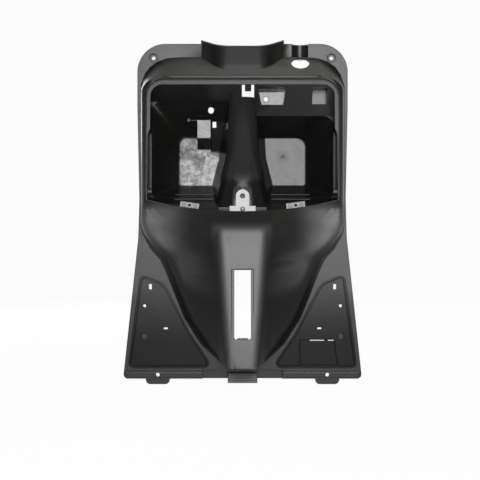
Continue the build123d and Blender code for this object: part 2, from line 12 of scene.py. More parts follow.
import bpy
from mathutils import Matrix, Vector


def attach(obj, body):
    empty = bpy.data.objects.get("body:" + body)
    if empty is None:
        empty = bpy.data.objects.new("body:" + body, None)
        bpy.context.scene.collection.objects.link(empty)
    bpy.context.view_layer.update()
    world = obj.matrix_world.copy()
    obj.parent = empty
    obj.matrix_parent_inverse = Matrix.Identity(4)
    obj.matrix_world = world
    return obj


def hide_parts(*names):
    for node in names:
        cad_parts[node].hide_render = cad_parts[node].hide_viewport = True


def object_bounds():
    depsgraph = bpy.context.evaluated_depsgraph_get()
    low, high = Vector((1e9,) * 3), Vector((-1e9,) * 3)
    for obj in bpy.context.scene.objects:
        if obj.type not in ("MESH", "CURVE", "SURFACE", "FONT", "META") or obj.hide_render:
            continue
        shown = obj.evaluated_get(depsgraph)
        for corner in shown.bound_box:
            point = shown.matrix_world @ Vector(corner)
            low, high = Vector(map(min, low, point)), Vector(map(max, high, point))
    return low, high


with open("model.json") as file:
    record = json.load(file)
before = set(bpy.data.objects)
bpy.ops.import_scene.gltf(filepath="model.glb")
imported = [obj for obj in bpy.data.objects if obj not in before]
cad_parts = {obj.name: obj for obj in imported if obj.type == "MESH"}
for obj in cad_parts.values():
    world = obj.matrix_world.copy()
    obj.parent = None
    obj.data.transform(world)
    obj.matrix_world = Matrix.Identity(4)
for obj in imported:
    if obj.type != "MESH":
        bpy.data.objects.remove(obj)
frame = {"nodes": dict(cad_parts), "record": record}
cad_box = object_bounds()
nodes = frame["nodes"]
print("nodes:", sorted(nodes))
print("box:", [[round(c, 4) for c in corner] for corner in cad_box])

# %% [markdown]
# ## Camera
#
# The picture is taken square on, from a fair distance: the sides of the glove box show almost equally. A
# short lens close by would show far more of them, so this is a long lens at two metres. One pixel of the
# picture is 1.75 mm at the flange, so the view is 840 mm wide there, and the lens follows from that width,
# the distance and the sensor.

# %% Camera
PICTURE = 480
PIXEL = 0.00175
DISTANCE = 2.0
SENSOR = 36.0
FLANGE_FACE = -0.004
ASIDE, EYE_HEIGHT = -0.0044, -0.31875

camera_data = bpy.data.cameras.new("camera")
camera_data.sensor_width = SENSOR
camera_data.lens = SENSOR * DISTANCE / (PICTURE * PIXEL)
camera = bpy.data.objects.new("camera", camera_data)
camera.location = (ASIDE, FLANGE_FACE - DISTANCE, EYE_HEIGHT)
camera.rotation_euler = (math.radians(90), 0, 0)
bpy.context.scene.collection.objects.link(camera)
bpy.context.scene.camera = camera
bpy.context.scene.view_settings.view_transform = "Standard"
print("lens", round(camera_data.lens, 1), "mm")

# %% [markdown]
# ## Shader maths as Python
#
# Materials are easier to read as formulas than as boxes and wires. This small class wraps one socket of a
# node, so that `1 - mask` or `grain * 0.3 + 0.4` adds the Math nodes by itself. Any other node comes from
# `make`, which sets the node's own settings first, because they decide which sockets it has, and then fills
# those sockets.

# %% The socket class
class Field:
    """One output of a node, which takes part in Python expressions."""

    tree = None

    def __init__(self, socket):
        self.socket = socket

    @classmethod
    def make(cls, kind, *inputs, settings=None, **named):
        """Adds a node: its settings first, then its sockets, in their order or by name."""
        node = cls.tree.nodes.new("ShaderNode" + kind)
        for name, value in (settings or {}).items():
            setattr(node, name, value)
        sockets = [socket for socket in node.inputs if socket.enabled]
        by_name = {socket.name.lower().replace(" ", "_"): socket for socket in reversed(sockets)}
        filled = list(zip(sockets, inputs)) + [(by_name[name], value) for name, value in named.items()]
        for socket, value in filled:
            if isinstance(value, Field):
                cls.tree.links.new(value.socket, socket)
            else:
                socket.default_value = value
        return cls(next((socket for socket in node.outputs if socket.enabled), None))

    def output(self, name):
        """Another output of the same node."""
        return Field(self.socket.node.outputs[name])

    @classmethod
    def maths(cls, operation, *values):
        return cls.make("Math", *values, settings={"operation": operation})

    def __add__(self, other):
        return self.maths("ADD", self, other)

    __radd__ = __add__

    def __mul__(self, other):
        return self.maths("MULTIPLY", self, other)

    __rmul__ = __mul__

    def __sub__(self, other):
        return self.maths("SUBTRACT", self, other)

    def __rsub__(self, other):
        return self.maths("SUBTRACT", other, self)

    def rises(self, low, high):
        """0 below low, 1 above high and a soft step between."""
        soft_step = {"interpolation_type": "SMOOTHSTEP"}
        return self.make("MapRange", self, settings=soft_step, from_min=low, from_max=high)

    def falls(self, low, high):
        """1 below low, 0 above high and a soft step between."""
        return 1 - self.rises(low, high)

    def mix(self, low, high):
        """The colour low where this field is 0, and high where it is 1."""
        colours = [colour if isinstance(colour, Field) else (*colour, 1.0) for colour in (low, high)]
        return self.make("Mix", self, *colours, settings={"data_type": "RGBA"})


print("reflected operators:", [name for name in vars(Field) if name.startswith("__r")])

# %% [markdown]
# A material starts as an empty tree and ends with its output. Between them, nearly every formula asks where
# on the object a point is. Image textures would need an unwrapped mesh for that, so these materials take
# the object's own coordinates, in metres, which are exact on every face.

# %% Starting and ending a material
def new_material(name):
    """Empty node material that the next expressions are added to."""
    material = bpy.data.materials.new(name)
    material.use_nodes = True
    material.node_tree.nodes.clear()
    Field.tree = material.node_tree
    return material


def surface(shader):
    """Ends the material's tree with its output."""
    Field.make("OutputMaterial", surface=shader)


def where():
    """The place of a point on the object, as a vector and as x, y and z."""
    place = Field.make("TexCoord").output("Object")
    split = Field.make("SeparateXYZ", place)
    return place, *(split.output(axis) for axis in "XYZ")


print("materials so far:", len(bpy.data.materials))

# %% [markdown]
# ## Floor and backdrop
#
# The shield is shown on plain white. A photographer would use a roll of paper that curves up behind the
# object, so that no line shows where floor and wall meet, and so do we. More light on the paper would light
# the shield too, so the paper itself is white to the camera, to reflections and through glass. A small
# share of it is an ordinary diffuse surface, which keeps a soft shadow.

# %% White paper
PAPER_GREY = 0.8
SHADOW_SHARE = 0.04
SEEN_RAYS = ("Is Glossy Ray", "Is Transmission Ray")


def white_paper():
    material = new_material("white paper")
    path = Field.make("LightPath")
    seen = path.output("Is Camera Ray")
    for kind in SEEN_RAYS:
        seen = Field.maths("MAXIMUM", seen, path.output(kind))
    glow = Field.make("Emission", color=(1, 1, 1, 1), strength=1.0)
    matt = Field.make("BsdfDiffuse", color=(PAPER_GREY, PAPER_GREY, PAPER_GREY, 1))
    surface(Field.make("MixShader", seen * (1 - SHADOW_SHARE), matt, glow))
    return material


paper_finish = white_paper()
print("made", paper_finish.name)

# %% [markdown]
# The paper's profile is a floor, a quarter circle and a wall, drawn once and stretched sideways. It is far
# larger than the shield, so that its edges stay out of the picture from most directions.

# %% Sweep
FLOOR_GAP = 0.0005
FLOOR_HEIGHT = cad_box[0][2] - FLOOR_GAP
SWEEP_HALF = 14.0
SWEEP_FRONT = -14.0
SWEEP_START = 3.0
SWEEP_RADIUS = 1.5
SWEEP_STEPS = 32

turns = [math.pi / 2 * step / SWEEP_STEPS for step in range(SWEEP_STEPS + 1)]
profile = [(SWEEP_FRONT, 0)]
profile += [(SWEEP_START + SWEEP_RADIUS * math.sin(t), SWEEP_RADIUS * (1 - math.cos(t))) for t in turns]
profile += [(SWEEP_START + SWEEP_RADIUS, SWEEP_HALF)]
corners = [(side * SWEEP_HALF, y, FLOOR_HEIGHT + z) for y, z in profile for side in (-1, 1)]
paper = bpy.data.meshes.new("floor")
paper.from_pydata(corners, [], [(2 * i, 2 * i + 1, 2 * i + 3, 2 * i + 2) for i in range(len(profile) - 1)])
paper.shade_smooth()
paper.materials.append(paper_finish)
floor = bpy.data.objects.new("floor", paper)
bpy.context.scene.collection.objects.link(floor)
print("floor at", round(FLOOR_HEIGHT, 4))

# %% [markdown]
# ## Lights
#
# Black plastic has almost no colour of its own: what we see are the lamps, mirrored weakly by every face
# that is turned toward them. One lamp could be moved about until most faces look right, but a studio gives
# each group of faces its own softbox, and so do we. A lamp is written as the brightness of its surface,
# which is what a mirroring face shows, and Blender's watts follow from its area.

# %% A softbox
WHITE, IVORY, CREAM = (1, 1, 1), (1.0, 0.98, 0.90), (1.0, 0.98, 0.84)


def softbox(name, place, target, size, radiance, colour=WHITE):
    """Rectangular lamp, as bright as a surface of that radiance."""
    width, height = size
    lamp = bpy.data.lights.new(name, "AREA")
    lamp.shape = "RECTANGLE"
    lamp.size = width
    lamp.size_y = height
    lamp.energy = radiance * math.pi * width * height
    lamp.color = colour
    box = bpy.data.objects.new(name, lamp)
    box.location = place
    box.rotation_euler = (Vector(target) - Vector(place)).to_track_quat("-Z", "Y").to_euler()
    box.visible_camera = False
    bpy.context.scene.collection.objects.link(box)


print("a lamp of radiance 1 and 1 square metre has", round(math.pi, 2), "watts")

# %% [markdown]
# Two boxes behind and above the camera make the upright faces pale, while everything that leans forward
# stays dark. Dim boxes at the sides draw the rounded edges, and two small panels below the shoulders of the
# bulge brighten those. The warm ceiling tints the shelf, with a narrow lamp for its middle and a wide one
# for its right, because the right side is a little lighter. The last two light the hollow back and fill the
# shadows from above.

# %% Placing the lamps
MIDDLE = (0, 0, -0.27)
FRONT = 9.4
UPPER = 0.7 * FRONT
SIDE, LOW, LOW_DIFFERENCE = 0.4, 7.0, 1.6
CEILING, MIDDLE_CEILING, RIGHT_CEILING = 0.55, 3.3, 0.8
BACK, HIGH, ROOM = 5.0, 3.9, 0.055

softbox("front softbox", (0.07, -2.2, 0.06), (0.07, 0, 0.06), (0.84, 0.94), FRONT)
softbox("upper softbox", (0.03, -2.2, 0.74), (0.03, 0, 0.74), (1.30, 0.42), UPPER)
for side, name in ((-1, "left softbox"), (1, "right softbox")):
    softbox(name, (side * 2.0, -0.5, -0.05), MIDDLE, (0.8, 1.0), SIDE)
    low_place, low_target = (side * 0.29, -0.18, -0.42), (side * 0.289, -0.18, 0)
    softbox("low " + name, low_place, low_target, (0.15, 0.18), LOW + LOW_DIFFERENCE * side)
softbox("ceiling", (0, -0.2, 1.6), (0, -0.1, 0), (2.4, 1.6), CEILING, CREAM)
softbox("middle ceiling", (0, -0.05, 1.57), (0, -0.049, 0), (0.14, 0.6), MIDDLE_CEILING)
softbox("right ceiling", (0.50, 0.15, 1.58), (0.45, 0.1, 0), (0.7, 0.6), RIGHT_CEILING, IVORY)
softbox("back softbox", (-0.9, 2.2, 0.7), MIDDLE, (1.6, 1.4), BACK)
softbox("high softbox", (0.1, -1.2, 1.6), MIDDLE, (0.9, 0.5), HIGH)

world = bpy.data.worlds.new("room")
bpy.context.scene.world = world
world.use_nodes = True
background = world.node_tree.nodes["Background"]
background.inputs["Color"].default_value = (1, 1, 1, 1)
background.inputs["Strength"].default_value = ROOM

# %% [markdown]
# ## Soft shading on the packed pieces
#
# The packed mesh is made of flat facets that don't share their corners. Editing it would lose its exact
# shape, so three modifiers turn it into a moulded surface instead: one welds the corners, one keeps the
# edges that are sharper than a limit apart, and one lets the large faces decide the normals, so that broad
# faces stay flat and the facets between them read as one rounded edge.

# %% Soft shading
SHARP = math.radians(34)
WELD_REACH = 0.00002
LARGE_FACES_LEAD = 50


def soften(node):
    """Rounded shading between facets that meet at a flat angle."""
    node.modifiers.new("weld", "WELD").merge_threshold = WELD_REACH
    split = node.modifiers.new("keep edges", "EDGE_SPLIT")
    split.split_angle = SHARP
    split.use_edge_sharp = False
    node.modifiers.new("large faces lead", "WEIGHTED_NORMAL").weight = LARGE_FACES_LEAD


for node in nodes.values():
    soften(node)
print("softened", len(nodes), "nodes")

# %% [markdown]
# ## Black plastic: its patterns
#
# The shield is one shot of black plastic. Its surface is never quite even, so four noises of different size
# go into it: a wide cloud, the fine grain that is etched into the mould, and blotches and specks for the
# pale smooth faces. A scanned texture would bring the same, but noise has no seams and no size limit.

# %% Patterns
plastic = new_material("black plastic")
place, x, y, z = where()
width = Field.maths("ABSOLUTE", x)
cloud = Field.make("TexNoise", place, scale=14.0, detail=4.0)
grain = Field.make("TexNoise", place, scale=520.0, detail=3.0, roughness=0.6)
mottle = Field.make("TexNoise", place, scale=55.0, detail=8.0, roughness=0.62, distortion=0.6)
speckle = Field.make("TexNoise", place, scale=150.0, detail=6.0, roughness=0.65)
print("nodes for the patterns:", len(Field.tree.nodes))

# %% [markdown]
# ## Black plastic: its areas
#
# The mould is etched outside, smooth in the glove box and nearly polished on two small faces. Each could
# have a material of its own, but they run into each other on one mesh, so one material with masks is
# better. A mask is a product of soft steps along the object's axes: each pair of numbers is where a step
# starts and ends.

# %% Glove box, column cover, side areas, collar and shoulders
BOX_SIDE, BOX_FOOT, BOX_TOP, BOX_MOUTH = (0.160, 0.165), (-0.268, -0.262), (-0.052, -0.050), (-0.037, -0.033)
WALL_FACE, WALL_BACK = (0.054, 0.0575), (0.0592, 0.0602)
COLUMN_SIDE, COLUMN_BACK = (0.030, 0.070), (-0.012, -0.006)
SUNK_FACE, SUNK_BACK, SUNK_TOP = (-0.0033, -0.0028), (0.002, 0.004), (-0.372, -0.368)
COLLAR_SIDE, COLLAR_FOOT, COLLAR_BACK = (0.075, 0.085), (-0.020, -0.012), (-0.020, -0.012)
SHOULDER_SIDE, SHOULDER_BACK = (0.080, 0.140), (-0.020, -0.010)
SHOULDER_FOOT, SHOULDER_TOP = (-0.350, -0.300), (-0.262, -0.250)

box = width.falls(*BOX_SIDE) * z.rises(*BOX_FOOT) * z.falls(*BOX_TOP)
inside = box * y.rises(*BOX_MOUTH)
outside = 1 - inside
back_wall = box * y.rises(*WALL_FACE) * y.falls(*WALL_BACK)
column = box * width.falls(*COLUMN_SIDE) * y.falls(*COLUMN_BACK)
sunk = y.rises(*SUNK_FACE) * y.falls(*SUNK_BACK) * z.falls(*SUNK_TOP)
collar = width.falls(*COLLAR_SIDE) * z.rises(*COLLAR_FOOT) * y.falls(*COLLAR_BACK)
shoulder = width.rises(*SHOULDER_SIDE) * y.falls(*SHOULDER_BACK)
shoulder = shoulder * z.rises(*SHOULDER_FOOT) * z.falls(*SHOULDER_TOP)
print("nodes with the areas:", len(Field.tree.nodes))

# %% [markdown]
# Two faces are smoother than the rest: the bottom of the recess in the glove box's roof, and the front of
# the small box in its left half. The gates are the small marks where the melt entered the mould, on the
# back walls. A block of space marks a face, and a ball marks a gate.

# %% Polished faces and gates
SOFT_EDGE = 0.001
RECESS_X, RECESS_DEPTH, RECESS_Z = (0.024, 0.080), (0.002, 0.006), (-0.086, -0.052)
SMALL_BOX_X, SMALL_BOX_DEPTH, SMALL_BOX_Z = (-0.081, -0.055), (0.013, 0.018), (-0.145, -0.100)
RECESSES_FOOT = (-0.090, -0.086)
LEFT_GATE, RIGHT_GATE, LOW_GATE = (-0.079, 0.058, -0.175), (0.073, 0.058, -0.169), (-0.060, 0.058, -0.211)
LEFT_GATE_RADIUS, GATE_RADIUS = 0.0045, 0.0035
GATE_CORE = 0.4


def within(field, low, high):
    """1 between two values of a field and 0 outside them."""
    return field.rises(low - SOFT_EDGE, low) * field.falls(high, high + SOFT_EDGE)


def near(point, radius):
    """1 round a point of the plastic and 0 beyond a radius."""
    away = Field.make("VectorMath", place, point, settings={"operation": "DISTANCE"})
    return away.falls(GATE_CORE * radius, radius)


polished = within(x, *RECESS_X) * within(y, *RECESS_DEPTH) * within(z, *RECESS_Z)
polished = polished + within(x, *SMALL_BOX_X) * within(y, *SMALL_BOX_DEPTH) * within(z, *SMALL_BOX_Z)
recesses = within(y, *RECESS_DEPTH) * z.rises(*RECESSES_FOOT)
gates = near(LEFT_GATE, LEFT_GATE_RADIUS) + near(RIGHT_GATE, GATE_RADIUS) + near(LOW_GATE, GATE_RADIUS)
print("nodes with the small faces:", len(Field.tree.nodes))

# %% [markdown]
# ## Black plastic: the strip
#
# A flat strip runs down the middle of the bulge, a little narrower toward its foot. In the packed model its
# edges are sharp, but on the moulding they are rolled. The Bevel node rounds only a couple of millimetres,
# so the strip gets normals of its own: flat in the middle, turned sideways more and more toward its sides,
# and down at its top. Its left side reaches a little further out than its right one.

# %% Strip
STRIP_TOP, STRIP_LEAN = -0.303, 0.1046
STRIP_HALF, STRIP_TAPER, LEFT_WIDER = 0.0591, 0.0723, 0.0025
MIDDLE_STEP, STRIP_BACK = (-0.010, 0.010), (-0.060, -0.045)
STRIP_FADE, STRIP_FLAT, STRIP_ROLL, ROLL = (0.003, 0.018), (-0.012, -0.007), (-0.013, 0.010), 0.24
EDGE_ROUND, BEVEL_SAMPLES = 0.002, 4

left_half = x.falls(*MIDDLE_STEP)
beside = width - (z * STRIP_TAPER + STRIP_HALF) - left_half * LEFT_WIDER
over = z - STRIP_TOP
strip = beside.falls(*STRIP_FADE) * over.falls(*STRIP_FADE) * y.falls(*STRIP_BACK)
flat = beside.falls(*STRIP_FLAT) * over.falls(*STRIP_FLAT)
turned_out = Field.maths("SIGN", x) * beside.rises(*STRIP_ROLL) * ROLL
turned_down = STRIP_LEAN - over.rises(*STRIP_ROLL) * ROLL
rolled = Field.make("CombineXYZ", turned_out, -1.0, turned_down)
edge = Field.make("Bevel", settings={"samples": BEVEL_SAMPLES}, radius=EDGE_ROUND)
normal = Field.make("Mix", strip * (1 - flat), edge, rolled, settings={"data_type": "VECTOR"})
normal = Field.make("VectorMath", normal, settings={"operation": "NORMALIZE"})
print("nodes with the strip:", len(Field.tree.nodes))

# %% [markdown]
# ## Black plastic: painted sheen on the back walls
#
# The back walls of the glove box face the front lamps squarely. Their scuffed mottling is their own, but
# their paleness is a painted reflection of those lamps. The left one is blotched and speckled, with a painted
# highlight toward its lower right, and darker round its gate. The right one is nearly even, with a faint
# ring.
# One pattern describes both, and it feeds the roughness as well as the painted colour: where the wall is
# paler, it is smoother too.

# %% Painted sheen on the back walls
BLOTCHES, BLOTCH_SHARE = (0.38, 0.62), 0.45
SPECKS, SPECK_SHARE = (0.42, 0.58), 0.35
SHEEN_RIGHT, SHEEN_DOWN = 6.5, 5.2
STAIN_RADIUS, LEFT_STAIN, RIGHT_STAIN = 0.016, 0.45, 0.16
SHEEN_RANGE = (-0.35, 1.05)
EVEN, EVEN_MOTTLE = 0.10, 0.70

# Painted highlight: the left wall is made paler toward its lower right.
toward = (x - LEFT_GATE[0]) * SHEEN_RIGHT - (z - LEFT_GATE[2]) * SHEEN_DOWN
blotched = mottle.rises(*BLOTCHES) * BLOTCH_SHARE + speckle.rises(*SPECKS) * SPECK_SHARE + toward
blotched = (blotched - near(LEFT_GATE, STAIN_RADIUS) * LEFT_STAIN).rises(*SHEEN_RANGE)
even = mottle * EVEN_MOTTLE + EVEN - near(RIGHT_GATE, STAIN_RADIUS) * RIGHT_STAIN
scuffs_and_sheen = blotched * left_half + even * (1 - left_half)
print("nodes with the bloom:", len(Field.tree.nodes))

# %% [markdown]
# ## Black plastic: roughness, colour and relief
#
# Roughness decides how wide the mirrored softboxes spread. It is highest on the column cover, which shines
# only at its foot, then on the shoulders and outside, where the grain is, and lowest on the polished faces.
# It could be one number, but then the whole shield would look like wet paint or like rubber.

# %% Roughness
GRAIN_ROUGH, GRAIN_SPREAD = 0.285, 0.04
SMOOTH_ROUGH, SMOOTH_SPREAD = 0.21, 0.06
WALL_ROUGH, WALL_SPREAD = 0.36, 0.28
COLUMN_ROUGH, COLUMN_RISE = 0.60, (-0.224, -0.200)
GATE_ROUGH, SHOULDER_ROUGH, POLISH, STRIP_POLISH = 0.25, 0.12, 0.24, 0.008

rough = (cloud * GRAIN_SPREAD + GRAIN_ROUGH) * outside + (mottle * SMOOTH_SPREAD + SMOOTH_ROUGH) * inside
rough = rough + column * z.rises(*COLUMN_RISE) * COLUMN_ROUGH + gates * GATE_ROUGH + shoulder * SHOULDER_ROUGH
rough = rough - polished * POLISH - strip * STRIP_POLISH
rough = rough * (1 - back_wall) + (WALL_ROUGH - scuffs_and_sheen * WALL_SPREAD) * back_wall
print("nodes with the roughness:", len(Field.tree.nodes))

# %% [markdown]
# The colour is nearly black, a touch warmer in its lighter clouds. On the back walls and the polished faces a
# pale painted sheen is added on top, with an Add mix: a painted reflection of the front lamps. The relief
# goes through a Bump node: grain outside, deeper in the side areas, soft waves inside and small pits at the
# gates. Real grain would need millions of faces.

# %% Colour and relief
DARK, DARK_WARM = (0.0064, 0.0068, 0.0065), (0.0112, 0.0112, 0.0102)
NO_SHEEN_PAINT, PALE_SHEEN_PAINT = (0, 0, 0), (0.34, 0.34, 0.35)
RIGHT_SHEEN_PAINT, POLISHED_SHEEN_PAINT, POLISHED_MOTTLE = 0.20, 0.40, (0.2, 0.8)
GRAIN_HEIGHT, WAVE_HEIGHT, GATE_DEPTH = 0.8, 0.5, 2.0
RELIEF_SHARE, RELIEF = 0.3, 0.0005

shade = cloud.mix(DARK, DARK_WARM)
# Painted reflection: pale colour on the back walls and polished faces stands in for the mirrored front lamps.
painted_sheen_share = scuffs_and_sheen * back_wall * (left_half * (1 - RIGHT_SHEEN_PAINT) + RIGHT_SHEEN_PAINT)
painted_sheen_share = painted_sheen_share + polished * mottle.rises(*POLISHED_MOTTLE) * POLISHED_SHEEN_PAINT
painted_sheen_colour = painted_sheen_share.mix(NO_SHEEN_PAINT, PALE_SHEEN_PAINT)
base = Field.make("Mix", 1.0, shade, painted_sheen_colour, settings={"data_type": "RGBA", "blend_type": "ADD"})
height = grain * (outside + sunk) * GRAIN_HEIGHT + mottle * inside * WAVE_HEIGHT - gates * GATE_DEPTH
bump = Field.make("Bump", strength=RELIEF_SHARE, distance=RELIEF, height=height, normal=normal)
print("nodes with colour and relief:", len(Field.tree.nodes))

# %% [markdown]
# The bulge's flanks, the side areas and most of the glove box mirror dark surroundings, and that shade is
# painted into the plastic with a shaded copy of it that mirrors less. Roughness alone can't show that, as it
# spreads the mirrored light and keeps its amount. So there are two shaders that differ in their refractive
# index only, a lit one and a shaded one, and a mask mixes them: shaded on the bulge's flanks, in the side
# areas and in most of the glove box, and in part on the collar and the back walls.

# %% Lit and shaded copies of one plastic
LIT_INDEX, SHADED_INDEX = 1.495, 1.23
FLANK_BACK, FLANK_TOP = (-0.018, -0.008), (-0.268, -0.260)
SUNK_SHADE, SUNK_LESS, SUNK_LESS_STEP = 0.9, 0.55, (-0.50, -0.40)
BOX_SHADE, COLLAR_SHADE, WALL_SHADE = 0.7, 0.50, 0.28

flank = y.falls(*FLANK_BACK) * z.falls(*FLANK_TOP) * (1 - strip) * (1 - shoulder)
# Painted shade: a shaded copy of the plastic that mirrors less, where faces mirror dark surroundings.
shaded_copy_share = sunk * (SUNK_SHADE - z.rises(*SUNK_LESS_STEP) * SUNK_LESS) + flank
shaded_copy_share = shaded_copy_share + inside * (1 - back_wall) * (1 - polished) * (1 - recesses) * BOX_SHADE
shaded_copy_share = shaded_copy_share + collar * COLLAR_SHADE + back_wall * WALL_SHADE
lit_and_shaded_copies = []
for index in (LIT_INDEX, SHADED_INDEX):
    lit_and_shaded_copies.append(Field.make("BsdfPrincipled", base_color=base, roughness=rough, normal=bump, ior=index))
surface(Field.make("MixShader", shaded_copy_share, *lit_and_shaded_copies))
print("black plastic has", len(Field.tree.nodes), "nodes")

# %% [markdown]
# ## Zinc-plated steel
#
# The catch and the clip nuts are cut from sheet, and they and the screw are plated with zinc. Plating could
# be a plain grey metal, but it is dull and cloudy, so colour, roughness and relief follow one noise. The
# clips are a little darker than the catch, and since they stand further out, the distance from the middle
# tells them apart.

# %% Zinc-plated steel
CATCH_DARK, CATCH_PALE = (0.16, 0.16, 0.16), (0.50, 0.50, 0.51)
CLIP_DARK, CLIP_PALE = (0.12, 0.118, 0.115), (0.32, 0.316, 0.308)
CLIP_STEP = (0.030, 0.050)
STEEL_ROUGH, STEEL_SPREAD = 0.40, 0.25
STEEL_EDGE, STEEL_RELIEF_SHARE, STEEL_RELIEF = 0.0003, 0.5, 0.0004

steel = new_material("zinc steel")
place, x, y, z = where()
plating = Field.make("TexNoise", place, scale=260.0, detail=4.0)
clip = Field.maths("ABSOLUTE", x).rises(*CLIP_STEP)
base = plating.mix(clip.mix(CATCH_DARK, CLIP_DARK), clip.mix(CATCH_PALE, CLIP_PALE))
rough = plating * STEEL_SPREAD + STEEL_ROUGH
edge = Field.make("Bevel", settings={"samples": BEVEL_SAMPLES}, radius=STEEL_EDGE)
bump = Field.make("Bump", strength=STEEL_RELIEF_SHARE, distance=STEEL_RELIEF, height=plating, normal=edge)
surface(Field.make("BsdfPrincipled", base_color=base, metallic=1.0, roughness=rough, normal=bump))
print("zinc steel has", len(Field.tree.nodes), "nodes")

# %% [markdown]
# The shield takes the plastic, and the pieces on its sill take the steel. They could be handed out by name,
# but the record of the packed model already says which finish each node has, so a loop reads it there.

# %% Finishes on the packed pieces
finishes = {"black_plastic": plastic, "zinc_steel": steel}
for part in frame["record"]["subparts"]:
    node = nodes[part["node"]]
    node.data.materials.clear()
    node.data.materials.append(finishes[part["material_slot"]])
print("finishes:", sorted(finishes))

# %% [markdown]
# ## Small pieces
#
# Some details are too small for the packed model. They could be painted on with a Bump node, but a real
# shape catches the light from every side. Most of them are thin round bars, half sunk into the plastic or
# the steel, so one function makes a bar along any path, and another joins several bars into one piece.

# %% Bars along a path
TUBE_SIDES = 10
TUBE_TIP = 0.35


def add_piece(name, corners, faces, slot):
    """A new mesh piece that rides on the object and takes the finish of a slot."""
    mesh = bpy.data.meshes.new(name)
    mesh.from_pydata(corners, [], faces)
    mesh.shade_smooth()
    mesh.set_sharp_from_angle(angle=SHARP)
    mesh.materials.append(finishes[slot])
    piece = bpy.data.objects.new(name, mesh)
    bpy.context.scene.collection.objects.link(piece)
    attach(piece, "root")
    return piece


def tube(points, radius):
    """Corners and faces of a round bar along a path, with narrow ends."""
    corners, faces = [], []
    last = len(points) - 1
    for i, point in enumerate(points):
        along = (points[min(i + 1, last)] - points[max(i - 1, 0)]).normalized()
        side = along.cross(Vector((0, 1, 0))).normalized()
        front = along.cross(side)
        thick = radius * (TUBE_TIP if i in (0, last) else 1.0)
        for k in range(TUBE_SIDES):
            turn = 2 * math.pi * k / TUBE_SIDES
            corners.append(point + thick * (math.cos(turn) * side + math.sin(turn) * front))
    for i in range(last):
        for k in range(TUBE_SIDES):
            a, b = i * TUBE_SIDES + k, i * TUBE_SIDES + (k + 1) % TUBE_SIDES
            faces.append((a, b, b + TUBE_SIDES, a + TUBE_SIDES))
    faces.append(tuple(reversed(range(TUBE_SIDES))))
    faces.append(tuple(range(last * TUBE_SIDES, (last + 1) * TUBE_SIDES)))
    return corners, faces


def tubes(name, paths, radius, slot):
    """Several round bars as one piece."""
    corners, faces = [], []
    for path in paths:
        new_corners, new_faces = tube(path, radius)
        faces += [tuple(k + len(corners) for k in face) for face in new_faces]
        corners += new_corners
    return add_piece(name, corners, faces, slot)


print("a bar has", TUBE_SIDES, "sides")

# %% [markdown]
# The latch tongue at the top of the glove box has four fine ribs for a fingertip. They are straight, so a
# few evenly spaced points make each path.

# %% Ribs on the latch tongue
TONGUE_FRONT, TONGUE_FOOT = -0.0371, -0.0607
RIBS, RIB_STEP, RIB_RADIUS = 4, 0.0025, 0.0006
RIB_START, RIB_LENGTH, RIB_PARTS = 0.0047, 0.0096, 8

rib_paths = []
for rib in range(RIBS):
    rib_height = TONGUE_FOOT + RIB_STEP * rib
    steps = [RIB_START + RIB_LENGTH * k / RIB_PARTS for k in range(RIB_PARTS + 1)]
    rib_paths.append([Vector((step, TONGUE_FRONT, rib_height)) for step in steps])
tubes("latch_tongue_ribs", rib_paths, RIB_RADIUS, "black_plastic")
print("ribs:", len(rib_paths))

# %% [markdown]
# A half-round ridge runs below the latch opening, on the round column cover. To follow that cover, we shoot
# rays at the shield from the front and take the places where they meet it. Rays that go past the cover meet
# something further back, and those places are left out.

# %% Ridge below the latch opening
RAY_START, RAY = -0.3, Vector((0, 1, 0))
RIDGE_X, RIDGE_Z, RIDGE_HALF, RIDGE_DROP = 0.0086, -0.0718, 0.0155, 0.0125
RIDGE_PARTS, RIDGE_RADIUS, COVER_BACK = 24, 0.0009, -0.010

shield = nodes["leg_shield"].evaluated_get(bpy.context.evaluated_depsgraph_get())
ridge = []
for k in range(RIDGE_PARTS + 1):
    turn = math.pi * (1 + k / RIDGE_PARTS)
    start = (RIDGE_X + RIDGE_HALF * math.cos(turn), RAY_START, RIDGE_Z + RIDGE_DROP * math.sin(turn))
    found, spot, _, _ = shield.ray_cast(Vector(start), RAY)
    if found and spot.y < COVER_BACK:
        ridge.append(spot)
tubes("latch_ridge", [ridge], RIDGE_RADIUS, "black_plastic")
print("ridge points:", len(ridge))

# %% [markdown]
# The shelf ends in a rolled rim above the lid seat. For each place along it we shoot rays lower and lower
# until they no longer meet the sloping shelf: that is its edge, and a thin roll follows it, set back a
# little.

# %% Rolled rim of the shelf
RIM_HALF, RIM_PARTS, RIM_RADIUS = 0.137, 60, 0.0026
RIM_SEARCH_TOP, RIM_SEARCH_STEP, RIM_SEARCHES = -0.030, 0.0002, 120
SHELF_SLOPE = 0.4
RIM_SET_BACK = Vector((0, 0.0036, 0.0024))


def shelf_edge(across):
    """The lowest place of the sloping shelf at a distance from the middle."""
    lowest = None
    for step in range(RIM_SEARCHES):
        start = Vector((across, RAY_START, RIM_SEARCH_TOP - RIM_SEARCH_STEP * step))
        found, spot, facing, _ = shield.ray_cast(start, RAY)
        if not found or facing.z < SHELF_SLOPE:
            break
        lowest = spot
    return lowest


rim = [shelf_edge(RIM_HALF * (2 * k / RIM_PARTS - 1)) + RIM_SET_BACK for k in range(RIM_PARTS + 1)]
tubes("shelf_rim_roll", [rim], RIM_RADIUS, "black_plastic")
print("rim from", [round(c, 4) for c in rim[0]], "to", [round(c, 4) for c in rim[-1]])

# %% [markdown]
# The tab in the middle of the bottom edge has a saw-toothed grip: short slanted faces, which catch the
# light because they lean back. It is a profile of four teeth, stretched sideways.

# %% Grip on the middle tab
GRIP_HALF, GRIP_FOOT, GRIP_BACK = 0.0255, -0.5690, -0.0035
TOOTH, TOOTH_LEAN, TEETH = 0.0045, 0.0010, 4

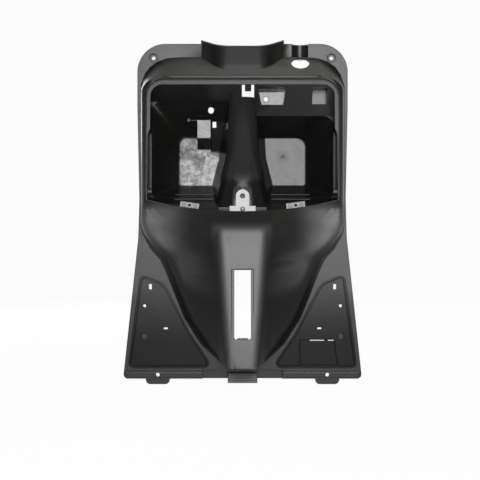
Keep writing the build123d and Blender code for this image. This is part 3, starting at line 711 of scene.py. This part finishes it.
outline = [(GRIP_BACK, GRIP_FOOT)]
for tooth in range(TEETH):
    foot = GRIP_FOOT + TOOTH * tooth
    outline += [(GRIP_BACK - 2 * TOOTH_LEAN, foot), (GRIP_BACK - TOOTH_LEAN, foot + TOOTH)]
outline += [(GRIP_BACK, GRIP_FOOT + TOOTH * TEETH)]
corners = [Vector((side * GRIP_HALF, depth, up)) for side in (-1, 1) for depth, up in outline]
count = len(outline)
faces = [(k, (k + 1) % count, count + (k + 1) % count, count + k) for k in range(count)]
faces += [tuple(reversed(range(count))), tuple(range(count, 2 * count))]
add_piece("bottom_tab_grip", corners, faces, "black_plastic")
print("teeth:", TEETH)

# %% [markdown]
# ## Screw of the catch
#
# The packed model has a plain screw here, where such a screw has a domed head with a cross recess. Cutting
# the cross with a Boolean would leave ragged faces on so small a dome. So the head is a height field: rings
# of points round the screw's axis, raised to a dome and pressed down where the cross is, with a plain shank
# below. It stands in for the packed screw.

# %% Points of the screw
HEAD_RADIUS, HEAD_FOOT, HEAD_RISE, DOME_POWER = 0.0042, 0.0018, 0.0021, 2.4
CROSS_LONG, CROSS_WIDE, CROSS_DEEP = 0.0024, 0.0006, 0.0011
SHANK_RADIUS, SHANK_FOOT = 0.0019, -0.0070
RINGS, SPOKES = 24, 72


def circle(radius):
    """Points round the screw's axis."""
    turns = [2 * math.pi * spoke / SPOKES for spoke in range(SPOKES)]
    return [(radius * math.cos(turn), radius * math.sin(turn)) for turn in turns]


def head_rise(u, v, radius):
    """How far the dome stands above its foot, with the cross pressed into it."""
    rise = HEAD_RISE * math.sqrt(max(0.0, 1 - (radius / HEAD_RADIUS) ** DOME_POWER))
    short, long = sorted((abs(u), abs(v)))
    return rise - CROSS_DEEP if short < CROSS_WIDE and long < CROSS_LONG else rise


screw_points = []
for ring in range(1, RINGS + 1):
    radius = HEAD_RADIUS * ring / RINGS
    screw_points += [(u, v, HEAD_FOOT + head_rise(u, v, radius)) for u, v in circle(radius)]
for level in (HEAD_FOOT, SHANK_FOOT):
    screw_points += [(u, v, level) for u, v in circle(SHANK_RADIUS)]
screw_points += [(0, 0, HEAD_FOOT + HEAD_RISE - CROSS_DEEP), (0, 0, SHANK_FOOT)]
print("screw points:", len(screw_points))

# %% [markdown]
# The faces join each ring to the next, with a fan at the tip and one at the end of the shank. The screw
# stands square on the sill's front, which leans back a little, so two directions of that face carry the
# points to their place.

# %% Faces and place of the screw
SEAT_LEAN = 0.13
SEAT_NORMAL = Vector((0, -1, SEAT_LEAN)).normalized()
SEAT_UP = Vector((0, SEAT_LEAN, 1)).normalized()
SCREW_PLACE = Vector((0, -0.066107, -0.2664))

tip, end = len(screw_points) - 2, len(screw_points) - 1
last_ring = (RINGS + 1) * SPOKES
faces = []
for spoke in range(SPOKES):
    after = (spoke + 1) % SPOKES
    faces.append((tip, spoke, after))
    for ring in range(RINGS + 1):
        a, b = ring * SPOKES + spoke, ring * SPOKES + after
        faces.append((a, a + SPOKES, b + SPOKES, b))
    faces.append((last_ring + spoke, end, last_ring + after))
placed = [SCREW_PLACE + Vector((u, 0, 0)) + SEAT_UP * v + SEAT_NORMAL * w for u, v, w in screw_points]
head = add_piece("catch_screw_head", placed, faces, "zinc_steel")
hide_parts("sill_catch_screw")
print("screw faces:", len(faces))

# %% [markdown]
# ## Beads on the clip nuts
#
# Thin sheet is made stiff by pressing beads into it, and each clip nut has two pairs. They are short bars
# across the clip. The clips lean with the sill, which sags toward its middle like a parabola, so their lean
# is the slope of that parabola at the clip.

# %% Clip beads
CLIP_PLACE = Vector((0.090, -0.06531, -0.2603))
SILL_SAG, SILL_HALF = 0.021, 0.165
CLIP_LEAN = math.atan(2 * CLIP_PLACE.x * SILL_SAG / SILL_HALF ** 2)
CLIP_FACE = 0.0011
BEAD_PLACES, BEAD_HALF, BEAD_PARTS, BEAD_RADIUS = (-0.0115, -0.0080, 0.0080, 0.0115), 0.0042, 4, 0.0007

for side, name in ((-1, "left"), (1, "right")):
    middle = Vector((side * CLIP_PLACE.x, CLIP_PLACE.y, CLIP_PLACE.z)) + SEAT_NORMAL * CLIP_FACE
    along = Vector((math.cos(CLIP_LEAN), 0, 0)) + SEAT_UP * (side * math.sin(CLIP_LEAN))
    across = Vector((-side * math.sin(CLIP_LEAN), 0, 0)) + SEAT_UP * math.cos(CLIP_LEAN)
    steps = [BEAD_HALF * k / BEAD_PARTS for k in range(-BEAD_PARTS, BEAD_PARTS + 1)]
    beads = [[middle + along * bead + across * step for step in steps] for bead in BEAD_PLACES]
    tubes(f"clip_beads_{name}", beads, BEAD_RADIUS, "zinc_steel")
print("beads on each clip:", len(BEAD_PLACES))

# %% [markdown]
# ## The end
